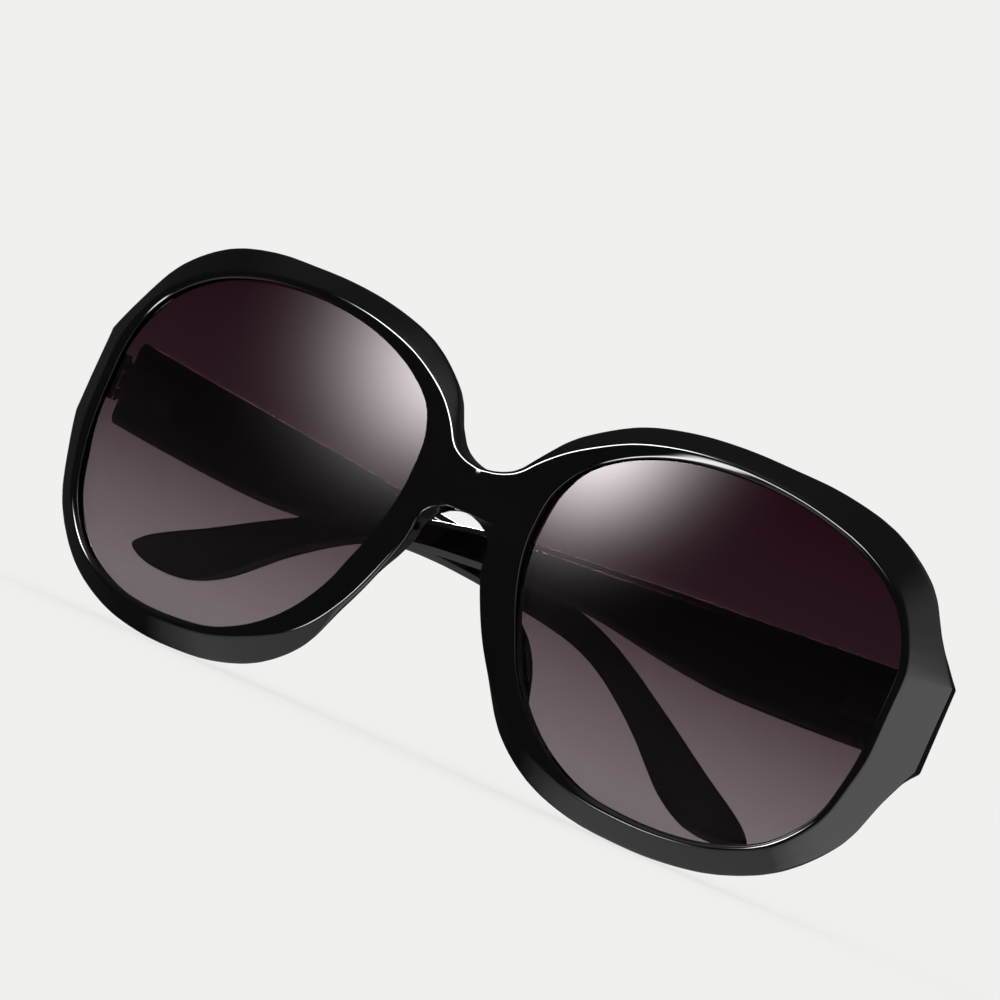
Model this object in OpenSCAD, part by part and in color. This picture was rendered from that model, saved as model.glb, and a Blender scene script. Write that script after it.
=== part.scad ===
// Oversized sunglasses with a gradient tint, lying folded as they stand upright on their rims.
// The front faces -Y, the wearer's left side is +X, and +Z is up. The origin is on the
// ground, under the middle of the folded pair.

/* [Front] */
// Width of the opening of one eye, seen square on
eye_w = 57.2; // [50:0.1:62]
// Height of the opening of one eye
eye_h = 51; // [44:0.1:56]
// Distance between the two openings at the nose
bridge_w = 20.8; // [16:0.1:24]
// Width of the rim round the opening
rim_w = 5; // [4:0.1:6]
// Depth of the rim behind the face of the lens
rim_deep = 3.6; // [3.2:0.1:4.5]
// How far the rim's crest stands in front of the lens
crest_rise = 1.4; // [1:0.1:2]
// How far the inner lip stands in front of the lens
lip_rise = 0.5; // [0.3:0.1:0.9]
// Fall of the outer bevel from the crest back to the edge
bevel_deep = 2.4; // [1.5:0.1:3]
// How far the outer edge draws in towards the back
edge_draft = 1.1; // [0:0.1:1.5]
// Radius of the ball on which the lens face lies
face_r = 86.5; // [75:0.5:120]
// Angle by which each half wraps back round the face
face_wrap = 10; // [6:0.5:14]

/* [Bridge] */
// Height of the notch above the middle of the eye, at the bridge's middle
notch_z = 12.1; // [10:0.1:14]
// Height of the bridge from the nose arch to the notch
bridge_h = 6.8; // [5:0.1:8]
// Half the width of the notch where it opens to the top rims
notch_half = 7.2; // [6:0.1:9]
// Half the width of the nose arch
arch_half = 6.5; // [5.5:0.1:8]
// How far the middle of the bridge stands in front of the eye's middle
bridge_front = 2.2; // [0:0.1:4]
// Distance from the middle over which the face runs from the eyes to the bridge
bridge_run = 16; // [12:0.5:20]
// How far the nose pads reach back behind the rim
pad_deep = 3.4; // [1:0.1:5]
// How far the nose pads spread sideways towards the back
pad_splay = 2.6; // [1:0.1:3]

/* [End pieces] */
// How far the end piece reaches out from the opening
end_reach = 6.2; // [5:0.1:8]
// Height of the end piece's flat butt
end_h = 13.1; // [11:0.1:15]
// Height of the middle of the butt above the middle of the eye
end_z = 3.1; // [1:0.1:5]
// How far the butt face stands behind the lens's face at the end piece
butt_deep = 3.9; // [3.4:0.1:4.6]

/* [Lenses] */
// Thickness of a lens
lens_t = 1.9; // [1.6:0.1:2.2]
// Depth of the groove that holds the lens
groove_deep = 0.5; // [0.4:0.05:0.8]
// Clearance between the lens and its groove on each side
lens_gap = 0.06; // [0.03:0.01:0.1]

/* [Temples] */
// Length of a temple from its hinge pin to the tip
temple_l = 122; // [115:0.5:130]
// Height of the temple at its butt
temple_h = 12.6; // [11:0.1:14]
// Thickness of the temple at its butt
temple_t = 3.8; // [3.4:0.1:4.4]
// Width of the chamfer along the temple's edges
temple_chamfer = 1; // [0.5:0.1:1.4]
// Clearance between the folded left temple and the lens that it stops behind
tip_gap = 0.65; // [0.4:0.05:1.5]
// Clearance between the two folded temples, where the right one lies behind the left
fold_gap = 1.26; // [0.4:0.02:2]
// Extra drop of the left temple, as an angle
left_droop = -1.05; // [-1.2:0.05:0]
// Extra drop of the right temple, as an angle
right_droop = 1.05; // [0:0.05:1.2]

/* [Hinges] */
// Radius of a hinge barrel
barrel_r = 1.3; // [1.2:0.05:1.35]
// Radius of the hinge screw's shank
pin_r = 0.6; // [0.5:0.05:0.7]
// Running clearance round the screw's shank
pin_gap = 0.05; // [0.03:0.01:0.08]
// Height of the barrel on the temple
mid_barrel_h = 2.4; // [2:0.1:3]
// Height of each of the two barrels on the front
end_barrel_h = 1.9; // [1.6:0.1:2.2]
// Gap between neighbouring barrels
barrel_gap = 0.1; // [0.06:0.02:0.2]
// Distance from the pin to the butt of the temple
pin_back = 1.4; // [1.4:0.05:1.6]
// Distance from the pin out to the inner face of the temple
pin_side = 0.6; // [0.5:0.05:0.8]
// Thickness of a hinge leaf
leaf_t = 1.1; // [0.9:0.1:1.3]
// Length of the temple's hinge leaf behind the barrel
leaf_l = 9; // [6:0.5:12]
// Gap between the two butts when a temple is open
butt_gap = 0.15; // [0.1:0.05:0.3]

/* [Hidden] */
$fn = 48;

acetate_colour = "#141416";
lens_colour = "#5b434e";
steel_colour = "#9a9a9c";

// The middle of each eye lies this far from the middle of the bridge.
eye_x = (eye_w + bridge_w) / 2;

// The face of the front

// Depth of the lens face at x, counted outwards from the middle of the eye, and z.
function ball_y(x, z) = face_r - sqrt(face_r * face_r - x * x - z * z) + tan(face_wrap) * x;
// Its slope along x.
function ball_slope(x, z) = x / sqrt(face_r * face_r - x * x - z * z) + tan(face_wrap);
// Near the nose the rim leaves the lens's ball and runs smoothly over the bridge.
// big_x counts outwards from the middle of the bridge.
function ease(a, ma, b, mb, t) = (2 * pow(t, 3) - 3 * t * t + 1) * a
    + (pow(t, 3) - 2 * t * t + t) * ma + (3 * t * t - 2 * pow(t, 3)) * b
    + (pow(t, 3) - t * t) * mb;
function over_bridge_y(big_x, z) = ease(
    ball_y(0, z) - bridge_front, 0,
    ball_y(bridge_run - eye_x, z), ball_slope(bridge_run - eye_x, z) * bridge_run,
    big_x / bridge_run);
function rim_y(x, z) = x + eye_x < bridge_run
    ? over_bridge_y(x + eye_x, z)
    : ball_y(x, z);

// The stations round one eye

// Each station has the angle round the eye, the opening as a share of half the eye's
// width, the rim as a share of its width, the crest's place across the rim, the share
// of the bevel, the share of the nose pad, the share of the end piece's butt, and the
// share by which the edge draws in.
station_share = [
    [169, 1.003, 1.00, 0.93, 0.15, 0.0, 0, 0.0],
    [175, 0.974, 1.00, 0.93, 0.15, 0.0, 0, 0.3],
    [181, 0.945, 1.00, 0.93, 0.15, 0.1, 0, 0.3],
    [188, 0.918, 1.00, 0.92, 0.20, 0.5, 0, 1.0],
    [197, 0.892, 1.06, 0.90, 0.30, 1.0, 0, 1.0],
    [210, 0.887, 0.95, 0.85, 0.40, 1.0, 0, 1.0],
    [225, 0.885, 1.13, 0.58, 0.60, 0.5, 0, 1.5],
    [240, 0.885, 1.12, 0.33, 0.80, 0.1, 0, 2.2],
    [255, 0.888, 0.97, 0.24, 0.90, 0.0, 0, 1.9],
    [270, 0.888, 0.90, 0.22, 1.00, 0.0, 0, 1.3],
    [285, 0.920, 0.86, 0.20, 1.00, 0.0, 0, 1.0],
    [300, 0.975, 0.84, 0.20, 1.00, 0.0, 0, 1.0],
    [315, 1.030, 0.83, 0.21, 1.00, 0.0, 0, 1.3],
    [330, 1.040, 0.92, 0.22, 1.00, 0.0, 0, 1.8],
    [343, 1.012, 1.02, 0.23, 1.05, 0.0, 0, 1.8],
    [353, 1.000, 1.00, 0.22, 1.30, 0.0, 1, 0.0],
    [365, 1.003, 1.00, 0.22, 1.40, 0.0, 1, 0.0],
    [377, 1.040, 1.00, 0.22, 1.30, 0.0, 1, 0.0],
    [387, 1.055, 0.94, 0.25, 1.00, 0.0, 0, 1.0],
    [398, 1.040, 1.05, 0.22, 0.95, 0.0, 0, 1.0],
    [412, 0.985, 1.09, 0.19, 0.90, 0.0, 0, 1.5],
    [428, 0.922, 0.98, 0.19, 0.85, 0.0, 0, 1.3],
    [444, 0.894, 0.84, 0.24, 0.80, 0.0, 0, 1.0],
    [460, 0.903, 0.84, 0.30, 0.75, 0.0, 0, 1.0],
    [476, 0.948, 0.90, 0.34, 0.70, 0.0, 0, 1.0],
    [491, 1.012, 1.02, 0.42, 0.60, 0.0, 0, 1.0],
    [504, 1.068, 1.06, 0.55, 0.50, 0.0, 0, 1.0],
    [513, 1.070, 1.00, 0.80, 0.30, 0.0, 0, 1.0],
    [519, 1.050, 1.00, 0.90, 0.18, 0.0, 0, 0.3],
    [525, 1.020, 1.00, 0.93, 0.15, 0.0, 0, 0.0]];
stations = len(station_share);
steps_between = 3;
ring_steps = stations * steps_between;

// An opening that is drawn as wide as it is tall is this much too tall.
tall_share = 0.892;
function opening(k) = let (s = station_share[(k + stations) % stations])
    [s[1] * cos(s[0]) * eye_w / 2, s[1] * sin(s[0]) * eye_h / 2 / tall_share];
function unit(v) = v / norm(v);
function outward(k) = let (t = unit(opening(k + 1) - opening(k - 1))) [t[1], -t[0]];

// The bridge's own stations, from the middle of the bridge outwards.
arch_z = notch_z - bridge_h;
arch_share = [[0, 0], [0.55, 0.10], [0.90, 0.42], [1.00, 1.00]];
notch_share = [[1.00, 1.00], [0.64, 0.28], [0, 0]];
arch_drop = 7.2;
notch_rise = 5;
first_notch = stations - len(notch_share);
function arch_edge(k) = [-eye_x + arch_share[k][0] * arch_half, arch_z - arch_share[k][1] * arch_drop];
function notch_edge(k) = let (s = notch_share[k - first_notch])
    [-eye_x + s[0] * notch_half, notch_z + s[1] * notch_rise];

// The end piece's stations are the ones with a butt.
end_x = eye_w / 2 + end_reach;
butt_y = ball_y(end_x, end_z) + butt_deep;
end_stations = [for (k = [0:stations - 1]) if (station_share[k][6] > 0) k];
end_share = [-0.5, 0.1, 0.5];
function end_edge(k) = [end_x, end_z + end_share[k - end_stations[0]] * end_h];

function edge(k) = k < len(arch_share) ? arch_edge(k)
    : k >= first_notch ? notch_edge(k)
    : station_share[k][6] > 0 ? end_edge(k)
    : opening(k) + outward(k) * rim_w * station_share[k][2];
function across_middle(p) = [-2 * eye_x - p[0], p[1]];
function edge_before(k) = k == 0 ? across_middle(edge(1)) : edge(k - 1);
function edge_after(k) = k == stations - 1 ? across_middle(edge(k - 1)) : edge(k + 1);
// The butt's two corners stay sharp.
function edge_tangent(k) = k == end_stations[0] || k == end_stations[len(end_stations) - 1]
    ? [0, 0]
    : (edge_after(k) - edge_before(k)) / 2;
function opening_tangent(k) = (opening(k + 1) - opening(k - 1)) / 2;

// One fine step of the ring: the opening, the edge and the shares, between two stations.
function ring_opening(k, t) = ease(opening(k), opening_tangent(k),
    opening(k + 1), opening_tangent(k + 1), t);
// The last steps run down the middle of the bridge, from the notch to the arch.
middle_share = [0, 0.1, 0.9];
function ring_edge(k, t) = k == stations - 1
    ? [-eye_x, notch_z - middle_share[round(t * steps_between)] * bridge_h]
    : ease(edge(k), edge_tangent(k), edge(k + 1), edge_tangent(k + 1), t);
function share_at(k, column) = station_share[(k + stations) % stations][column];
function ring_share(k, column, t) = ease(
    share_at(k, column), (share_at(k + 1, column) - share_at(k - 1, column)) / 2,
    share_at(k + 1, column), (share_at(k + 2, column) - share_at(k, column)) / 2, t);
// The butt has straight sides, and the bridge's face is flat across the middle.
function ring_butt(k, t) = (1 - t) * share_at(k, 6) + t * share_at(k + 1, 6);
function ring_draft(k, t) = (1 - t) * share_at(k, 7) + t * share_at(k + 1, 7);
function ring_bevel(k, t) = k == stations - 1 && t > 0 ? 0 : ring_share(k, 4, t);

// The rear face steps down beside the butt at this share of its width.
shelf_share = 0.55;
rear_chamfer = 0.5;
recess_deep = 0.6;
recess_wall = 0.1;
// The nose pad's tip is this thick, and its inner side bulges at these shares of its depth.
pad_tip_t = 1.2;
tip_share = 0.75;
root_share = 0.35;
// A point of the rim stands behind its own face, or on the butt, and one of the groove
// stands behind the lens's.
function rim_point(p, deep, seat) =
    [p[0] + eye_x, (1 - seat) * (rim_y(p[0], p[1]) + deep) + seat * butt_y, p[1]];
function groove_point(p, deep) = [p[0] + eye_x, ball_y(p[0], p[1]) + deep, p[1]];
// One section through the rim, as points of x, depth and z.
function section(k, t) = let (
    o = ring_opening(k, t),
    e = ring_edge(k, t),
    w = norm(e - o),
    dir = (e - o) / w,
    crest = ring_share(k, 3, t) * w,
    bevel = ring_bevel(k, t) * bevel_deep,
    pad = max(0, ring_share(k, 5, t)),
    butt = ring_butt(k, t),
    land = w - max(0, ring_draft(k, t)) * edge_draft,
    pad_edge = land - pad_splay * pad,
    shelf = (1 - pad) * (rear_chamfer + (land - rear_chamfer) * shelf_share)
        + pad * (pad_edge - pad_tip_t),
    rear = rim_deep - recess_deep * butt,
    groove_back = lens_t + lens_gap,
    face_rows = [[0, -lip_rise], [crest, -crest_rise]],
    edge_rows = [[w, bevel - crest_rise], [pad_edge, rim_deep + pad_deep * pad]],
    rear_rows = [
        [shelf, rim_deep + pad_deep * pad * tip_share],
        [shelf - recess_wall * (1 - pad), rear + pad_deep * pad * root_share],
        [rear_chamfer, rear],
        [0, rear - rear_chamfer]],
    groove_rows = [
        [0, groove_back],
        [groove_deep, groove_back],
        [groove_deep, -lens_gap],
        [0, -lens_gap]])
    concat(
        [for (r = face_rows) rim_point(o + dir * r[0], r[1], 0)],
        [rim_point(o + dir * edge_rows[0][0], edge_rows[0][1], 0)],
        [rim_point(o + dir * edge_rows[1][0], edge_rows[1][1], butt)],
        [rim_point(o + dir * rear_rows[0][0], rear_rows[0][1], butt)],
        [for (j = [1:len(rear_rows) - 1]) rim_point(o + dir * rear_rows[j][0], rear_rows[j][1], 0)],
        [for (r = groove_rows) groove_point(o + dir * r[0], r[1])]);
section_points = len(section(0, 0));
// This row of a section is the bevel's outer edge, and the next one the edge of the back.
bevel_row = 2;
function is_edge_row(j) = j == bevel_row || j == bevel_row + 1;
sections = [for (k = [0:stations - 1], s = [0:steps_between - 1]) section(k, s / steps_between)];

// Both halves are one solid: they share the points in the middle of the bridge.
function in_middle(i, j) = (i == 0 || i >= (stations - 1) * steps_between) && is_edge_row(j);
function frame_point(side, i, j) = let (ii = i % ring_steps, jj = j % section_points)
    (side == 1 && !in_middle(ii, jj) ? ring_steps * section_points : 0) + ii * section_points + jj;
function is_middle_face(i, j) = i >= (stations - 1) * steps_between && j == bevel_row;
frame_points = concat(
    [for (s = sections, p = s) p],
    [for (s = sections, p = s) [-p[0], p[1], p[2]]]);
function quad(a, b, c, d, turn) = turn ? [[a, c, b], [a, d, c]] : [[a, b, c], [a, c, d]];
frame_faces = [for (side = [0, 1], i = [0:ring_steps - 1], j = [0:section_points - 1])
    if (!is_middle_face(i, j))
        each quad(frame_point(side, i, j), frame_point(side, i + 1, j),
            frame_point(side, i + 1, j + 1), frame_point(side, i, j + 1), side == 1)];

// The lenses

lens_rings = 5;
lens_reach = groove_deep - lens_gap;
function lens_outline(k, t) = let (o = ring_opening(k, t), e = ring_edge(k, t))
    o + unit(e - o) * lens_reach;
lens_edge = [for (k = [0:stations - 1], s = [0:steps_between - 1])
    lens_outline(k, s / steps_between)];
function lens_point(p, share, deep) = let (q = p * share)
    [q[0] + eye_x, ball_y(q[0], q[1]) + deep, q[1]];
lens_layer = 1 + lens_rings * ring_steps;
function lens_side(deep) = concat([lens_point([0, 0], 0, deep)],
    [for (m = [1:lens_rings], p = lens_edge) lens_point(p, m / lens_rings, deep)]);
lens_points = concat(lens_side(0), lens_side(lens_t));
function lens_index(layer, m, i) = layer * lens_layer
    + (m == 0 ? 0 : 1 + (m - 1) * ring_steps + i % ring_steps);
lens_faces = concat(
    [for (layer = [0, 1], i = [0:ring_steps - 1])
        let (a = lens_index(layer, 0, 0), b = lens_index(layer, 1, i), c = lens_index(layer, 1, i + 1))
        layer == 0 ? [a, c, b] : [a, b, c]],
    [for (layer = [0, 1], m = [1:lens_rings - 1], i = [0:ring_steps - 1])
        each quad(lens_index(layer, m, i), lens_index(layer, m, i + 1),
            lens_index(layer, m + 1, i + 1), lens_index(layer, m + 1, i), layer == 1)],
    [for (i = [0:ring_steps - 1])
        each quad(lens_index(0, lens_rings, i), lens_index(0, lens_rings, i + 1),
            lens_index(1, lens_rings, i + 1), lens_index(1, lens_rings, i), false)]);

// The hinges

pin_x = end_x + eye_x - pin_side - temple_t;
pin_y = butt_y + butt_gap - pin_back;
hinge_z = end_z;
hinge_h = mid_barrel_h + 2 * end_barrel_h + 2 * barrel_gap;
neck_w = 1.1;
foot_w = 2.6;
foot_deep = 1.6;
// The foot of the front's hinge is sunk this far into the end piece.
foot_sink = 1.2;
leaf_sink = 0.5;
leaf_share = 0.88;
leaf_h = hinge_h * leaf_share;
head_r = 1.05;
head_h = 0.5;
overrun = 1;

// The temples

// Each station of the temple has its place along the temple, then its top and bottom
// edges from the middle of the butt, as shares of the temple's length and height, and
// its thickness as a share.
temple_share = [
    [0.0131, 0.50, -0.50, 1.00],
    [0.0600, 0.46, -0.54, 1.00],
    [0.1230, 0.41, -0.58, 0.98],
    [0.1850, 0.36, -0.61, 0.94],
    [0.2460, 0.31, -0.62, 0.90],
    [0.3280, 0.25, -0.55, 0.84],
    [0.4100, 0.17, -0.44, 0.80],
    [0.4920, 0.10, -0.41, 0.78],
    [0.5900, -0.03, -0.48, 0.78],
    [0.6890, -0.24, -0.60, 0.78],
    [0.7540, -0.46, -0.86, 0.78],
    [0.8200, -0.79, -1.31, 0.78],
    [0.8690, -1.05, -1.73, 0.78],
    [0.9180, -1.32, -1.97, 0.76],
    [0.9620, -1.54, -2.00, 0.72],
    [0.9880, -1.69, -1.95, 0.64],
    [1.0000, -1.80, -1.88, 0.50]];
temple_stations = len(temple_share);
temple_steps = 2;
temple_rings = (temple_stations - 1) * temple_steps + 1;
// The temple thins on its inner side by this share, and on a thin or a low section its
// chamfers keep below this share.
inner_share = 0.35;
chamfer_share = 0.3;
function temple_at(k) = temple_share[max(0, min(temple_stations - 1, k))];
function temple_row(k, t) = ease(temple_at(k), (temple_at(k + 1) - temple_at(k - 1)) / 2,
    temple_at(k + 1), (temple_at(k + 2) - temple_at(k)) / 2, t);
function temple_ring(i) = let (
    k = min(floor(i / temple_steps), temple_stations - 2),
    row = temple_row(k, i / temple_steps - k),
    along = i == 0 ? pin_back : row[0] * temple_l,
    top = row[1] * temple_h,
    low = row[2] * temple_h,
    thick = row[3] * temple_t,
    inner = inner_side(thick),
    outer = outer_side(thick),
    cz = min(temple_chamfer, (top - low) * chamfer_share),
    cx = min(temple_chamfer, thick * chamfer_share))
    [[inner, along, top - cz], [inner + cx, along, top], [outer - cx, along, top],
        [outer, along, top - cz], [outer, along, low + cz], [outer - cx, along, low],
        [inner + cx, along, low], [inner, along, low + cz]];
ring_points = len(temple_ring(0));
temple_faces = concat(
    [[for (j = [0:ring_points - 1]) j]],
    [for (i = [0:temple_rings - 2], j = [0:ring_points - 1])
        each quad(i * ring_points + j, i * ring_points + (j + 1) % ring_points,
            (i + 1) * ring_points + (j + 1) % ring_points, (i + 1) * ring_points + j, true)],
    [[for (j = [0:ring_points - 1]) temple_rings * ring_points - 1 - j]]);

// How far the outer and the inner face of a temple stand off its pin, from its thickness.
function inner_side(thick) = pin_side + (temple_t - thick) * inner_share;
function outer_side(thick) = inner_side(thick) + thick;

// The left temple stops behind the right lens, or behind the rim beside it.
open_share = 0.44;
function behind(x, z) = ball_y(x, z) + (norm([x / eye_w, z / eye_h]) < open_share ? lens_t : rim_deep);
function fold_at(row) = let (
    reach = row[0] * temple_l,
    x = reach - pin_x - eye_x,
    z = hinge_z + (row[1] + row[2]) / 2 * temple_h - reach * tan(left_droop))
    asin((pin_y + pin_side - tip_gap - behind(x, z)) / reach);
left_fold = min([for (row = temple_share) if (row[0] * temple_l > pin_x) fold_at(row)]);

// The right temple stops behind the left one, where the two stand at the same height.
function left_share(reach, column) = lookup(
    (2 * pin_x - reach) / temple_l, [for (row = temple_share) [row[0], row[column]]]);
function left_back(reach) = outer_side(left_share(reach, 3) * temple_t) * cos(left_fold)
    - (2 * pin_x - reach) * sin(left_fold);
function meets_left(row) = let (
    reach = row[0] * temple_l,
    across = 2 * pin_x - reach,
    drop = reach * tan(right_droop) - across * tan(left_droop))
    across < temple_l
    && row[1] * temple_h - drop > left_share(reach, 2) * temple_h
    && row[2] * temple_h - drop < left_share(reach, 1) * temple_h;
function fold_behind(row) =
    asin((inner_side(row[3] * temple_t) - fold_gap - left_back(row[0] * temple_l)) / row[0] / temple_l);
right_fold = min([for (row = temple_share) if (meets_left(row)) fold_behind(row)]);

// Setting down: the pair stands on its rims, with the origin under its middle.
rim_low = min([for (p = frame_points) p[2]]);
front_y = min([for (p = frame_points) p[1]]);
function temple_back(row, fold) = outer_side(row[3] * temple_t) * cos(fold)
    - row[0] * temple_l * sin(fold);
rear_y = pin_y + max([for (row = temple_share, fold = [left_fold, right_fold])
    temple_back(row, fold)]);
mid_y = (front_y + rear_y) / 2;

module set_down()
    translate([0, -mid_y, -rim_low])
        children();

// side is 1 on the wearer's left and -1 on the wearer's right.
module on_side(side)
    set_down()
        mirror([side < 0 ? 1 : 0, 0, 0])
            children();

module at_hinge(side)
    on_side(side)
        translate([pin_x, pin_y, hinge_z])
            children();

// The temple is drawn open, with its pin on the Z axis, and then folded.
module folded(side)
    at_hinge(side)
        rotate([0, 0, 90 + (side > 0 ? left_fold : right_fold)])
            children();

module front_frame()
    color(acetate_colour)
        set_down()
            polyhedron(frame_points, frame_faces, convexity = 8);

module lens(side)
    color(lens_colour)
        on_side(side)
            polyhedron(lens_points, lens_faces, convexity = 4);

module barrel(low, tall)
    translate([0, 0, low])
        difference() {
            cylinder(r = barrel_r, h = tall);
            translate([0, 0, -overrun])
                cylinder(r = pin_r + pin_gap, h = tall + 2 * overrun);
        }

// Two barrels with necks that run forward into one foot, sunk in the end piece.
module front_hinge(side)
    color(steel_colour)
        at_hinge(side) {
            for (low = [-hinge_h / 2, hinge_h / 2 - end_barrel_h]) {
                barrel(low, end_barrel_h);
                translate([-neck_w / 2, -barrel_r - foot_sink, low])
                    cube([neck_w, barrel_r + foot_sink - pin_r - 2 * pin_gap, end_barrel_h]);
            }
            translate([-foot_w / 2, -barrel_r - foot_sink - foot_deep, -hinge_h / 2])
                cube([foot_w, foot_deep, hinge_h]);
        }

// One barrel, a neck of its own height, and a plate half sunk in the temple.
module temple_hinge(side)
    color(steel_colour)
        folded(side) {
            barrel(-mid_barrel_h / 2, mid_barrel_h);
            translate([pin_side + leaf_sink - leaf_t, pin_r + 2 * pin_gap, -mid_barrel_h / 2])
                cube([leaf_t, pin_back + leaf_l - pin_r - 2 * pin_gap, mid_barrel_h]);
            translate([pin_side + leaf_sink - leaf_t, pin_back, -leaf_h / 2])
                cube([leaf_t, leaf_l, leaf_h]);
        }

module hinge_screw(side)
    color(steel_colour)
        at_hinge(side)
            translate([0, 0, -hinge_h / 2]) {
                cylinder(r = pin_r, h = hinge_h);
                translate([0, 0, hinge_h])
                    cylinder(r = head_r, h = head_h);
            }

module temple(side) {
    droop = side > 0 ? left_droop : right_droop;
    points = [for (i = [0:temple_rings - 1], p = temple_ring(i))
        [p[0], p[1], p[2] - (p[1] - pin_back) * tan(droop)]];
    color(acetate_colour)
        folded(side)
            polyhedron(points, temple_faces, convexity = 4);
}

module left_lens() lens(1);
module right_lens() lens(-1);
module left_front_hinge() front_hinge(1);
module right_front_hinge() front_hinge(-1);
module left_hinge_screw() hinge_screw(1);
module right_hinge_screw() hinge_screw(-1);
module left_temple() temple(1);
module right_temple() temple(-1);
module left_temple_hinge() temple_hinge(1);
module right_temple_hinge() temple_hinge(-1);

front_frame();
left_lens();
right_lens();
left_front_hinge();
right_front_hinge();
left_hinge_screw();
right_hinge_screw();
left_temple();
right_temple();
left_temple_hinge();
right_temple_hinge();
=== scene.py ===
# %% [markdown]
# # Oversized sunglasses, folded
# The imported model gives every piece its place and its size. This script dresses it: a
# smooth moulded front, gradient lenses, polished temples and small steel hinges, then a
# floor, the light and a camera where the photograph was taken from. +X is the wearer's
# left, and the lenses face -Y.

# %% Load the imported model
import bpy
import bmesh
import math
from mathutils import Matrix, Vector


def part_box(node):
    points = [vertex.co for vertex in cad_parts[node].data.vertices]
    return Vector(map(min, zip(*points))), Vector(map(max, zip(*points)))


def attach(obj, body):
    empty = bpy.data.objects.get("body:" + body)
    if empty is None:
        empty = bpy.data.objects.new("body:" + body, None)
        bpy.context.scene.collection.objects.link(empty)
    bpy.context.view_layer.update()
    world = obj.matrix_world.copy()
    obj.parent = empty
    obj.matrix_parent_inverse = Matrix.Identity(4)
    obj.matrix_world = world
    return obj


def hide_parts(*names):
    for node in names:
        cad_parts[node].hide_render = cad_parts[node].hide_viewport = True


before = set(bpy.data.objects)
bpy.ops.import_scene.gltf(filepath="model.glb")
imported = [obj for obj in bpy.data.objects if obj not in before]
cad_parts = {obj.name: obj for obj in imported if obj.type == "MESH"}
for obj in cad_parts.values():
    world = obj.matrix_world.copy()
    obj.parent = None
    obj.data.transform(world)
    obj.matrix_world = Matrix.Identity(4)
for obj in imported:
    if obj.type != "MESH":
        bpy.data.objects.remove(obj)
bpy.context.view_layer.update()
MM = 0.001

# %% [markdown]
# Operators act on whatever is selected, so each step first clears the selection. A piece
# that refines a CAD solid starts from a copy of it, and the node's own mesh is left alone.
# The copy comes as loose triangles, so they are merged first. The CAD solid was a grid of
# quads, each cut along one diagonal, and bevels and subdivision only run cleanly along the
# grid. Blender's own pairing can join the wrong triangles, so the diagonals are found here:
# round a point of such a grid the six edges come in the order along, diagonal, across, and
# again, which carries the names from one triangle to the next over the whole surface.

# %% Helpers for selecting, copying and finishing
def pick(piece):
    bpy.ops.object.select_all(action="DESELECT")
    piece.select_set(True)
    bpy.context.view_layer.objects.active = piece


def copy_of(node, name):
    """A separate copy of a CAD node, merged, with its finishes and split normals cleared."""
    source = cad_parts[node]
    piece = bpy.data.objects.new(name, source.data.copy())
    piece.data.name = name
    piece.data.materials.clear()
    bpy.context.scene.collection.objects.link(piece)
    pick(piece)
    bpy.ops.object.mode_set(mode="EDIT")
    bpy.ops.mesh.select_all(action="SELECT")
    bpy.ops.mesh.remove_doubles(threshold=0.001 * MM)
    bpy.ops.mesh.customdata_custom_splitnormals_clear()
    bpy.ops.object.mode_set(mode="OBJECT")
    return piece


def find_diagonals(mesh):
    """Names the three families of edges from triangle to triangle.

    The longest family is the diagonals. The two halves of the pair mirror each other, so
    the names don't cross the middle."""
    diagonals = []
    named = set()
    for seed in mesh.faces:
        if seed in named:
            continue
        local = {seed: {edge: name for name, edge in enumerate(seed.edges)}}
        named.add(seed)
        waiting = [seed]
        while waiting:
            face = waiting.pop()
            for shared in face.edges:
                beyond = next(other for other in shared.link_faces if other is not face)
                if beyond in named or any(len(point.link_edges) != 6 for point in shared.verts):
                    continue
                if face.calc_center_median().x * beyond.calc_center_median().x < 0:
                    continue
                local[beyond] = {shared: local[face][shared]}
                for point in shared.verts:
                    here = next(e for e in face.edges if e is not shared and point in e.verts)
                    there = next(e for e in beyond.edges if e is not shared and point in e.verts)
                    local[beyond][there] = 3 - local[face][shared] - local[face][here]
                named.add(beyond)
                waiting.append(beyond)
        families = [set(), set(), set()]
        for names in local.values():
            for edge, name in names.items():
                families[name].add(edge)
        diagonals += max(families, key=lambda family: sum(edge.calc_length() for edge in family))
    return diagonals


def join_quads(piece):
    """Takes the diagonals out, and pairs the few triangles that are left."""
    pick(piece)
    bpy.ops.object.mode_set(mode="EDIT")
    bpy.ops.mesh.select_all(action="DESELECT")
    mesh = bmesh.from_edit_mesh(piece.data)
    for edge in find_diagonals(mesh):
        if all(len(face.verts) == 3 for face in edge.link_faces):
            edge.select_set(True)
    bmesh.update_edit_mesh(piece.data)
    bpy.ops.mesh.dissolve_edges(use_verts=False, use_face_split=False)
    bpy.ops.mesh.select_all(action="SELECT")
    bpy.ops.mesh.tris_convert_to_quads(
        face_threshold=math.radians(25), shape_threshold=math.radians(90))
    bpy.ops.object.mode_set(mode="OBJECT")
    sides = [len(face.vertices) for face in piece.data.polygons]
    quads = sides.count(4)
    print(piece.name, "starts with", quads, "quads and", len(sides) - quads, "other faces")


def use(kind, piece, **settings):
    """Adds a modifier and applies it."""
    pick(piece)
    modifier = piece.modifiers.new(kind.lower(), kind)
    for key, value in settings.items():
        setattr(modifier, key, value)
    bpy.ops.object.modifier_apply(modifier=modifier.name)


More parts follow.
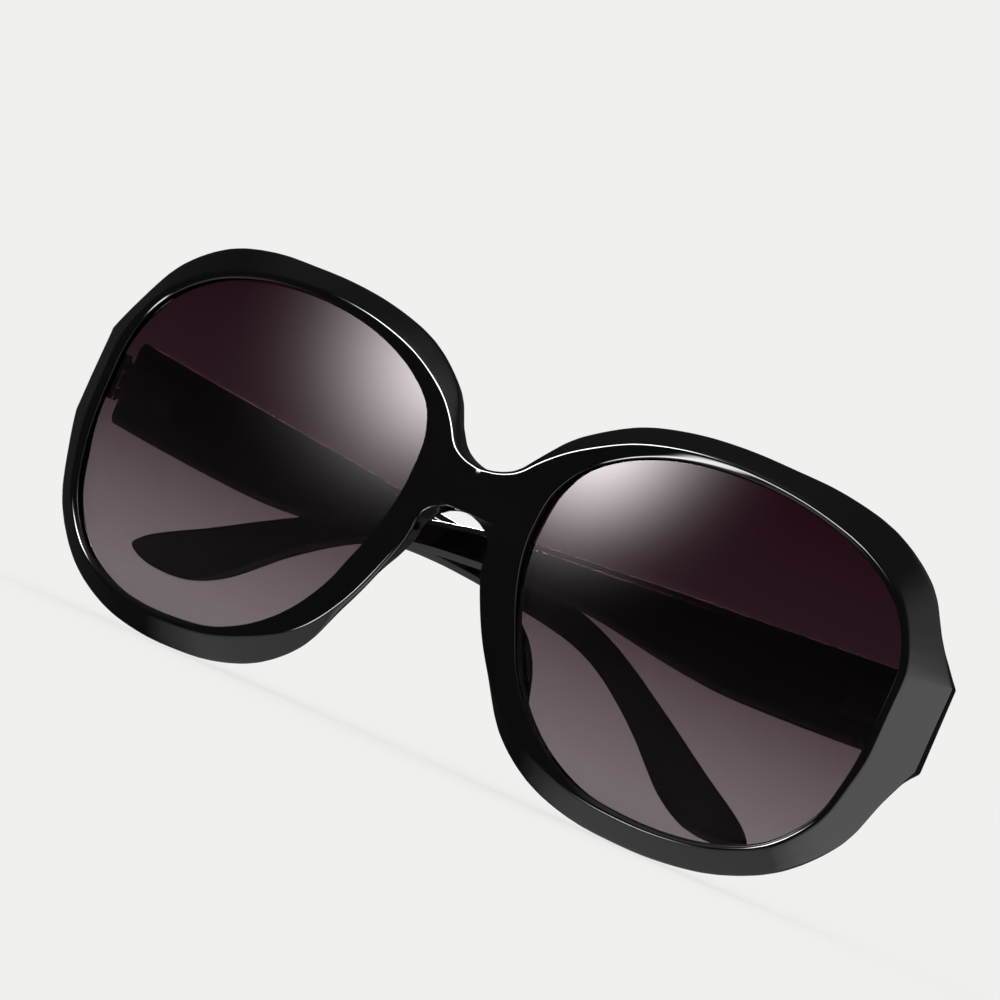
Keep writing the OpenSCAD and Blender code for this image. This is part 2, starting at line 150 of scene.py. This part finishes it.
def round_edges(piece, angle, offset):
    """Rounds every edge that turns by more than the angle, in degrees."""
    pick(piece)
    bpy.ops.object.mode_set(mode="EDIT")
    bpy.ops.mesh.select_all(action="DESELECT")
    bpy.ops.mesh.edges_select_sharp(sharpness=math.radians(angle))
    bpy.ops.mesh.bevel(offset=offset, segments=2, profile=0.5, clamp_overlap=True)
    bpy.ops.object.mode_set(mode="OBJECT")


RIDGE_TURN = math.radians(24)
BRIDGE_TURN = math.radians(9)
BRIDGE_HALF = 5 * MM


def select_ridges(piece):
    """Selects the edges that stay edges, in edit mode.

    Most turn by more than 24 degrees. At the bridge the crest flattens, and there it is
    known by running across and not from front to back."""
    bpy.ops.mesh.select_all(action="DESELECT")
    bpy.ops.mesh.edges_select_sharp(sharpness=RIDGE_TURN)
    mesh = bmesh.from_edit_mesh(piece.data)
    for edge in mesh.edges:
        along = edge.verts[1].co - edge.verts[0].co
        near_middle = max(abs(point.co.x) for point in edge.verts) < BRIDGE_HALF
        runs_across = abs(along.x) > 0.7 * along.length
        if near_middle and runs_across and edge.calc_face_angle() > BRIDGE_TURN:
            edge.select_set(True)
    bmesh.update_edit_mesh(piece.data)


def tumble(piece, radius):
    """Smooths the long curves first, and then rounds the ridges as tumbling does."""
    pick(piece)
    bpy.ops.object.mode_set(mode="EDIT")
    select_ridges(piece)
    bpy.ops.transform.edge_crease(value=1)
    bpy.ops.object.mode_set(mode="OBJECT")
    use("SUBSURF", piece, levels=1, render_levels=1)
    pick(piece)
    bpy.ops.object.mode_set(mode="EDIT")
    bpy.ops.mesh.select_all(action="SELECT")
    bpy.ops.transform.edge_crease(value=-1)
    select_ridges(piece)
    bpy.ops.mesh.bevel(offset=radius, segments=2, profile=0.5, clamp_overlap=False)
    bpy.ops.object.mode_set(mode="OBJECT")
    use("SUBSURF", piece, levels=1, render_levels=1)
    smooth(piece, 60)
    use("WEIGHTED_NORMAL", piece, mode="FACE_AREA", weight=60, keep_sharp=True)


def smooth(piece, angle=40):
    pick(piece)
    bpy.ops.object.shade_smooth_by_angle(angle=math.radians(angle))


def settle(piece, node, body):
    """The piece stands for its node, whose solid is hidden, and rides on its body."""
    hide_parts(node)
    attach(piece, body)
    print(piece.name, "ends with", len(piece.data.polygons), "faces")

# %% [markdown]
# ## The moulded front
# The real front is one block of acetate, milled and then tumbled until its edges are
# round. The crest that runs round each eye, the outer edge and the inner lip are all soft
# to the touch. Subdivision alone could round them, but its rounding spreads over the long
# faces beside each ridge, and polish then shows a blurred glow where a thin line belongs.
# So there are three steps: subdivision with the ridges creased, which smooths the long
# curves, then a bevel of a set width along the ridges alone, and a last subdivision, which
# makes the bevel round. Weighted normals keep the broad faces flat up to the bevel.
#
# In the middle of the bridge the two mirrored halves meet in a small step. It is evened
# first: seven points there move onto the front ridges at the notch and at the arch, and
# those that land in one place merge. One of them is the middle of the arch's second ridge,
# a third of a millimetre behind the first, so the bevel between the two pinches out there.
# Without the evening, the lamp draws a streak down the bridge.

# %% Front
STEP_HALF = 0.75 * MM
STEP_FRONT = -11.3 * MM
BRIDGE_MIDDLE_Z = 38 * MM
# Where the neighbours lie, in millimetres: x, and y and z at the notch and at the arch.
NEIGHBOUR_X = 0.76
NOTCH_EDGE = (-11.34, 41.705)
ARCH_EDGE = (-11.98, 35.235)

front = copy_of("front_frame", "moulded_front")
join_quads(front)
evened = 0
for point in front.data.vertices:
    if abs(point.co.x) < STEP_HALF and point.co.y < STEP_FRONT:
        beside = math.copysign(NEIGHBOUR_X, point.co.x) if abs(point.co.x) > 0.1 * MM else 0
        edge = NOTCH_EDGE if point.co.z > BRIDGE_MIDDLE_Z else ARCH_EDGE
        point.co = Vector((beside, *edge)) * MM
        evened += 1
print("evened", evened, "points in the middle of the bridge")
pick(front)
bpy.ops.object.mode_set(mode="EDIT")
bpy.ops.mesh.select_all(action="SELECT")
bpy.ops.mesh.remove_doubles(threshold=0.03 * MM)
bpy.ops.object.mode_set(mode="OBJECT")
tumble(front, 0.24 * MM)
settle(front, "front_frame", "front")

# %% [markdown]
# ## The temples
# Each temple is milled from a flat strip, chamfered along its edges and bent down at the
# tip. The chamfers stay crisp, so their rounding is small.

# %% Temples
temples = {}
for side in ("left", "right"):
    temple = copy_of(side + "_temple", side + "_arm")
    join_quads(temple)
    tumble(temple, 0.12 * MM)
    settle(temple, side + "_temple", side + "_arm")
    temples[side] = temple

# %% [markdown]
# ## The lenses
# A sun lens is cut from a thin dish, part of a large ball, and ground to the rim's shape.
# The same way works here: a fine grid is curved to the ball and given its thickness, and
# then cut to the outline of the CAD lens. A fine even grid reflects without streaks.

# %% The ball on which a lens lies
EYE_X, EYE_Z = 39 * MM, 29.928 * MM
FACE_Y = -8.558 * MM
BALL_R = 86.5 * MM
WRAP = math.radians(10)
LENS_T = 1.9 * MM


def face_y(out, up):
    """Depth of the lens face at a place counted outwards and up from the eye's middle."""
    return FACE_Y + BALL_R - math.sqrt(BALL_R ** 2 - out ** 2 - up ** 2) + math.tan(WRAP) * out

# %% Dish and cut
DISH = 66 * MM
lenses = {}
for side, sign in (("left", 1), ("right", -1)):
    cutter = copy_of(side + "_lens", side + "_lens_cutter")
    for point in cutter.data.vertices:
        depth = point.co.y - face_y(sign * point.co.x - EYE_X, point.co.z - EYE_Z)
        point.co.y = -30 * MM if depth < LENS_T / 2 else 30 * MM
    bpy.ops.object.select_all(action="DESELECT")
    bpy.ops.mesh.primitive_grid_add(
        x_subdivisions=72, y_subdivisions=66, size=DISH,
        location=(sign * EYE_X, 0, EYE_Z), rotation=(math.radians(90), 0, 0))
    dish = bpy.context.object
    dish.name = dish.data.name = side + "_gradient_lens"
    bpy.ops.object.transform_apply(location=True, rotation=True, scale=True)
    for point in dish.data.vertices:
        point.co.y = face_y(sign * point.co.x - EYE_X, point.co.z - EYE_Z)
    bpy.ops.object.mode_set(mode="EDIT")
    bpy.ops.mesh.select_all(action="SELECT")
    bpy.ops.mesh.extrude_region_move(TRANSFORM_OT_translate={"value": (0, LENS_T, 0)})
    bpy.ops.mesh.select_all(action="SELECT")
    bpy.ops.mesh.normals_make_consistent(inside=False)
    bpy.ops.object.mode_set(mode="OBJECT")
    use("BOOLEAN", dish, operation="INTERSECT", solver="EXACT", object=cutter)
    bpy.data.objects.remove(cutter)
    smooth(dish)
    settle(dish, side + "_lens", "front")
    lenses[side] = dish

# %% [markdown]
# ## Hinges and screws
# The steel hinges are small: two barrels on the front, one on the temple, and a slotted
# screw down through them. Tumbling leaves a fine radius on each stamped edge.

# %% Hinges
hinges = []
for side in ("left", "right"):
    for node, body in ((side + "_front_hinge", "front"), (side + "_temple_hinge", side + "_arm")):
        hinge = copy_of(node, node.replace("hinge", "barrels"))
        round_edges(hinge, 40, 0.07 * MM)
        smooth(hinge)
        settle(hinge, node, body)
        hinges.append(hinge)

# %% Screws with a slot for the driver
screws = []
for side, sign in (("left", 1), ("right", -1)):
    node = side + "_hinge_screw"
    low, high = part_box(node)
    middle_x, middle_y = (low[0] + high[0]) / 2, (low[1] + high[1]) / 2
    screw = copy_of(node, side + "_slotted_screw")
    bpy.ops.object.select_all(action="DESELECT")
    bpy.ops.mesh.primitive_cube_add(size=1, location=(middle_x, middle_y, high[2]))
    blade = bpy.context.object
    blade.scale = (3 * MM, 0.3 * MM, 0.5 * MM)
    blade.rotation_euler.z = sign * math.radians(25)
    bpy.ops.object.transform_apply(location=True, rotation=True, scale=True)
    use("BOOLEAN", screw, operation="DIFFERENCE", solver="EXACT", object=blade)
    bpy.data.objects.remove(blade)
    round_edges(screw, 50, 0.05 * MM)
    smooth(screw)
    settle(screw, node, "front")
    screws.append(screw)

# %% [markdown]
# ## Finishes
# Three finishes cover the whole pair. Each reads Object coordinates, so its pattern stays
# on the piece while the temples swing. A little noise in the roughness and the surface
# keeps the polish from looking like glass.

# %% Helpers for node trees
def new_finish(name):
    finish = bpy.data.materials.new(name)
    finish.use_nodes = True
    tree = finish.node_tree
    return finish, tree.nodes, tree.links, tree.nodes["Principled BSDF"]


def noise_on(nodes, links, coords, scale, detail=3, stretch=(1, 1, 1)):
    """A noise pattern on Object coordinates."""
    mapping = nodes.new("ShaderNodeMapping")
    mapping.inputs["Scale"].default_value = stretch
    noise = nodes.new("ShaderNodeTexNoise")
    noise.inputs["Scale"].default_value = scale
    noise.inputs["Detail"].default_value = detail
    links.new(coords.outputs["Object"], mapping.inputs["Vector"])
    links.new(mapping.outputs["Vector"], noise.inputs["Vector"])
    return noise


def spread(nodes, links, source, low, high):
    """Maps a 0 to 1 pattern onto a range."""
    span = nodes.new("ShaderNodeMapRange")
    span.inputs["To Min"].default_value = low
    span.inputs["To Max"].default_value = high
    links.new(source, span.inputs["Value"])
    return span.outputs["Result"]

# %% Polished black acetate
acetate, nodes, links, shader = new_finish("polished_black_acetate")
coords = nodes.new("ShaderNodeTexCoord")
cloud = noise_on(nodes, links, coords, 90)
body_colour = nodes.new("ShaderNodeValToRGB")
body_colour.color_ramp.elements[0].color = (0.0022, 0.0022, 0.0024, 1)
body_colour.color_ramp.elements[1].color = (0.0042, 0.0040, 0.0044, 1)
links.new(cloud.outputs["Fac"], body_colour.inputs["Fac"])
links.new(body_colour.outputs["Color"], shader.inputs["Base Color"])
handling = noise_on(nodes, links, coords, 420, 5)
links.new(spread(nodes, links, handling.outputs["Fac"], 0.02, 0.06), shader.inputs["Roughness"])
swell = noise_on(nodes, links, coords, 160, 1)
bump = nodes.new("ShaderNodeBump")
bump.inputs["Strength"].default_value = 0.12
bump.inputs["Distance"].default_value = 0.01 * MM
links.new(swell.outputs["Fac"], bump.inputs["Height"])
links.new(bump.outputs["Normal"], shader.inputs["Normal"])
shader.inputs["IOR"].default_value = 1.49

# %% Gradient lens tint
tint, nodes, links, shader = new_finish("gradient_tint")
coords = nodes.new("ShaderNodeTexCoord")
split = nodes.new("ShaderNodeSeparateXYZ")
height = nodes.new("ShaderNodeMapRange")
height.inputs["From Min"].default_value = 4 * MM
height.inputs["From Max"].default_value = 56 * MM
ramp = nodes.new("ShaderNodeValToRGB")
links.new(coords.outputs["Object"], split.inputs[0])
links.new(split.outputs["Z"], height.inputs["Value"])
links.new(height.outputs["Result"], ramp.inputs["Fac"])
links.new(ramp.outputs["Color"], shader.inputs["Base Color"])
tints = ((0.08, (0.205, 0.170, 0.184)), (0.36, (0.115, 0.083, 0.095)),
         (0.52, (0.055, 0.031, 0.040)), (0.66, (0.024, 0.0085, 0.0145)),
         (0.95, (0.018, 0.0035, 0.0088)))
stops = ramp.color_ramp.elements
while len(stops) < len(tints):
    stops.new(0.5)
for stop, (place, colour) in zip(stops, tints):
    stop.position = place
    stop.color = (*colour, 1)
haze = noise_on(nodes, links, coords, 300, 2)
links.new(spread(nodes, links, haze.outputs["Fac"], 0.0, 0.012), shader.inputs["Roughness"])
shader.inputs["Transmission Weight"].default_value = 1
shader.inputs["IOR"].default_value = 1.5

# %% Satin steel
steel, nodes, links, shader = new_finish("satin_steel")
coords = nodes.new("ShaderNodeTexCoord")
grain = noise_on(nodes, links, coords, 900, 4, (1, 1, 14))
metal = nodes.new("ShaderNodeValToRGB")
metal.color_ramp.elements[0].color = (0.42, 0.42, 0.43, 1)
metal.color_ramp.elements[1].color = (0.62, 0.62, 0.62, 1)
links.new(grain.outputs["Fac"], metal.inputs["Fac"])
links.new(metal.outputs["Color"], shader.inputs["Base Color"])
links.new(spread(nodes, links, grain.outputs["Fac"], 0.22, 0.42), shader.inputs["Roughness"])
shader.inputs["Metallic"].default_value = 1

# %% Put the finishes on
for pieces, finish in (((front, *temples.values()), acetate), (lenses.values(), tint),
                       ((*hinges, *screws), steel)):
    for piece in pieces:
        piece.data.materials.clear()
        piece.data.materials.append(finish)

# %% [markdown]
# ## Floor, light and camera
# The floor is pale and plain, and the surroundings light it evenly. Part of its colour is
# its own glow towards the camera, so that it stays pale and still takes the shadow.
# Polished acetate shows only what it reflects, so what glossy rays meet is arranged as in
# a small studio: dark in front and above, a pale wall on the wearer's left, a pale table
# below, and a few soft lamps. A ray that has passed a lens meets the plain background.

# %% Floor
bpy.ops.object.select_all(action="DESELECT")
bpy.ops.mesh.primitive_plane_add(size=8, location=(0, 0, 0))
floor = bpy.context.object
floor.name = "floor"
floor.visible_glossy = False
pale, nodes, links, shader = new_finish("pale_floor")
shader.inputs["Base Color"].default_value = (0.875, 0.875, 0.86, 1)
shader.inputs["Roughness"].default_value = 0.8
shader.inputs["Specular IOR Level"].default_value = 0
backdrop = nodes.new("ShaderNodeEmission")
backdrop.inputs["Color"].default_value = (0.87, 0.87, 0.857, 1)
path = nodes.new("ShaderNodeLightPath")
share = spread(nodes, links, path.outputs["Is Camera Ray"], 0, 0.8)
blend = nodes.new("ShaderNodeMixShader")
links.new(share, blend.inputs["Fac"])
links.new(shader.outputs[0], blend.inputs[1])
links.new(backdrop.outputs[0], blend.inputs[2])
links.new(blend.outputs[0], nodes["Material Output"].inputs["Surface"])
floor.data.materials.append(pale)

# %% Surroundings
world = bpy.data.worlds.new("studio")
bpy.context.scene.world = world
world.use_nodes = True
nodes, links = world.node_tree.nodes, world.node_tree.links
background = nodes["Background"]


def math_node(kind, *values, nodes=nodes, links=links):
    """A Math node; each value is a number or a socket."""
    node = nodes.new("ShaderNodeMath")
    node.operation = kind
    for socket, value in zip(node.inputs, values):
        if isinstance(value, (int, float)):
            socket.default_value = value
        else:
            links.new(value, socket)
    return node.outputs[0]


def rise(value, start, end, height):
    """Climbs smoothly from 0 to a height between two values."""
    span = nodes.new("ShaderNodeMapRange")
    span.interpolation_type = "SMOOTHSTEP"
    span.inputs["From Min"].default_value = start
    span.inputs["From Max"].default_value = end
    span.inputs["To Max"].default_value = height
    links.new(value, span.inputs["Value"])
    return span.outputs["Result"]


direction = nodes.new("ShaderNodeTexCoord")
split = nodes.new("ShaderNodeSeparateXYZ")
links.new(direction.outputs["Generated"], split.inputs[0])
down = math_node("MULTIPLY", split.outputs["Z"], -1)
aside = math_node("SUBTRACT", math_node("MULTIPLY", split.outputs["X"], 0.77),
                  math_node("MULTIPLY", math_node("ABSOLUTE", split.outputs["Y"]), 0.64))
towards_top = math_node("SUBTRACT", 2.0, rise(split.outputs["Z"], 0.05, 0.6, 1.4))
wall = math_node("MULTIPLY", rise(aside, 0.15, 0.5, 1.0), towards_top)
table = rise(down, 0.72, 0.92, 0.75)
ceiling = rise(split.outputs["Z"], 0.55, 0.75, 0.06)
brightest = math_node("MAXIMUM", math_node("MAXIMUM", wall, table), ceiling)
studio = math_node("ADD", brightest, 0.03)
path = nodes.new("ShaderNodeLightPath")
mirrored = math_node("MULTIPLY", path.outputs["Is Glossy Ray"],
                     math_node("SUBTRACT", 1, path.outputs["Is Transmission Ray"]))
seen = math_node("MAXIMUM", path.outputs["Is Camera Ray"], path.outputs["Is Transmission Ray"])
plain = nodes.new("ShaderNodeMix")
plain.inputs["A"].default_value = 1.0
plain.inputs["B"].default_value = 0.87
links.new(seen, plain.inputs["Factor"])
level = nodes.new("ShaderNodeMix")
links.new(mirrored, level.inputs["Factor"])
links.new(plain.outputs["Result"], level.inputs["A"])
links.new(studio, level.inputs["B"])
links.new(level.outputs["Result"], background.inputs["Strength"])
background.inputs["Color"].default_value = (1, 1, 0.985, 1)

# %% [markdown]
# The soft lamps are seen only in reflections. The first hangs close to the nose and lays
# the pale haze on the upper inner part of both lenses. It is linked to the lenses alone, so
# that the bridge between them stays dark. The others stand a metre off, so a direction is
# enough to place one: the crest lamp draws the bright lines along the crests, the band
# lamp a weak sheen beside them, the low lamp the glints under the eyes, and two more the
# fine lines along the temples. A high power makes a lamp's rim steep and its tail short.
# No lamp stands low behind the pair, because the temples' flat sides would mirror it to
# anyone who looks from behind.

# %% Soft lamps
def soft_lamp(name, place, facing, size, reach, strength, receivers, colour=(1, 1, 1), power=2):
    """A card whose glow fades from its middle, seen only in the receivers' polish."""
    bpy.ops.object.select_all(action="DESELECT")
    bpy.ops.mesh.primitive_plane_add(size=size)
    card = bpy.context.object
    card.name = name
    card.location = place
    card.rotation_euler = Vector(facing).to_track_quat("Z", "Y").to_euler()
    for ray in ("visible_camera", "visible_diffuse", "visible_transmission",
                "visible_volume_scatter", "visible_shadow"):
        setattr(card, ray, False)
    glow = bpy.data.materials.new(name + "_glow")
    glow.use_nodes = True
    nodes, links = glow.node_tree.nodes, glow.node_tree.links
    nodes.remove(nodes["Principled BSDF"])
    coords = nodes.new("ShaderNodeTexCoord")
    away = nodes.new("ShaderNodeVectorMath")
    away.operation = "LENGTH"
    links.new(coords.outputs["Object"], away.inputs[0])
    share = math_node("DIVIDE", away.outputs["Value"], reach, nodes=nodes, links=links)
    fall = math_node("MULTIPLY", math_node("POWER", share, power, nodes=nodes, links=links), -1,
                     nodes=nodes, links=links)
    fade = math_node("EXPONENT", fall, nodes=nodes, links=links)
    lamp = nodes.new("ShaderNodeEmission")
    lamp.inputs["Color"].default_value = (*colour, 1)
    links.new(math_node("MULTIPLY", fade, strength, nodes=nodes, links=links), lamp.inputs["Strength"])
    clear = nodes.new("ShaderNodeBsdfTransparent")
    both = nodes.new("ShaderNodeAddShader")
    links.new(lamp.outputs[0], both.inputs[0])
    links.new(clear.outputs[0], both.inputs[1])
    links.new(both.outputs[0], nodes["Material Output"].inputs["Surface"])
    card.data.materials.append(glow)
    lit = bpy.data.collections.new(name + "_receivers")
    for piece in receivers:
        lit.objects.link(piece)
    card.light_linking.receiver_collection = lit


def far_lamp(name, azimuth, elevation, spread_angle, strength, receivers, power=2):
    """A soft lamp one metre off in a direction given in degrees."""
    level = math.cos(math.radians(elevation))
    towards = Vector((level * math.cos(math.radians(azimuth)),
                      level * math.sin(math.radians(azimuth)), math.sin(math.radians(elevation))))
    reach = math.tan(math.radians(spread_angle))
    soft_lamp(name, towards, -towards, 5 * reach, reach, strength, receivers, power=power)


dark = (front, *temples.values())
soft_lamp("lens_lamp", (-19 * MM, -38 * MM, 76.5 * MM), (0.45, 0.75, -0.45), 160 * MM,
          25 * MM, 22, lenses.values(), (1, 0.925, 0.955))
far_lamp("crest_lamp", -120, 31, 11, 60, dark, 4)
far_lamp("band_lamp", -112, 57, 13, 0.6, dark)
far_lamp("low_lamp", -92, -34, 10, 25, (front,), 4)
far_lamp("temple_lamp_above", -138, 56, 6, 200, temples.values(), 4)
far_lamp("temple_lamp_behind", 125, 35, 8, 150, temples.values(), 4)

# %% [markdown]
# The camera stands two metres off, in front of the wearer's left side, with a long lens. Its
# roll of 23 degrees is the photograph's: there the pair lies aslant in the picture.

# %% Camera
shot = bpy.data.cameras.new("photograph_view")
camera = bpy.data.objects.new("photograph_view", shot)
bpy.context.scene.collection.objects.link(camera)
camera.location = (0.8978995, -1.8130318, 0.0390729)
camera.rotation_euler = [math.radians(angle) for angle in (89.9915, -23.28847, 26.36542)]
shot.lens = 504.444
shot.sensor_width = 36
shot.clip_end = 20
bpy.context.scene.camera = camera
bpy.context.scene.view_settings.view_transform = "Standard"

# %% Bring the scene up to date
bpy.context.view_layer.update()
